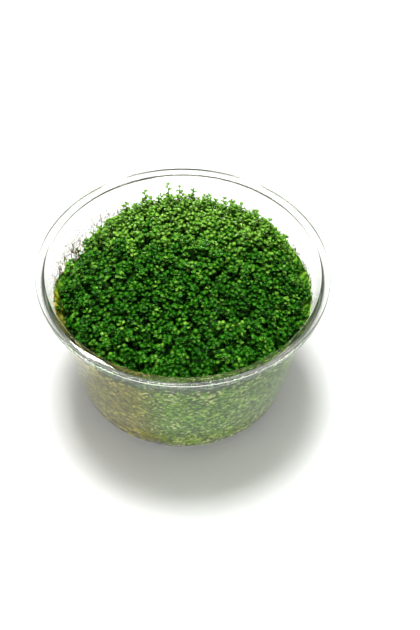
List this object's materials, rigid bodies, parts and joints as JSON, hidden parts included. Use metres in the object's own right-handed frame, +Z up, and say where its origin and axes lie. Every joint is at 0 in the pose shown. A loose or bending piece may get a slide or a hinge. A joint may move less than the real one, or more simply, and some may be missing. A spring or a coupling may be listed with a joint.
{
  "type": "dwarf baby tears tissue culture cup",
  "caption": "Clear tapered plastic cup with a thick lip, holding a dense, gently domed cushion of dwarf baby tears rooted in a layer of agar gel.",
  "frame": {"origin": "centre of the cup's flat underside", "axes": "+Z up, out of the cup's mouth; +X and +Y lie in the underside, with -Y towards the viewer of the picture and +X to the viewer's right"},
  "size_m": [0.09, 0.09, 0.053],
  "materials": {
    "clear_plastic": "clear, glossy moulded plastic",
    "agar": "wet translucent gel",
    "foliage": "small moist satin leaves on thin stems"
  },
  "bodies": {
    "root": {"cup": "clear_plastic", "agar_gel": "agar", "baby_tears_mat": "foliage"}
  },
  "joints": []
}
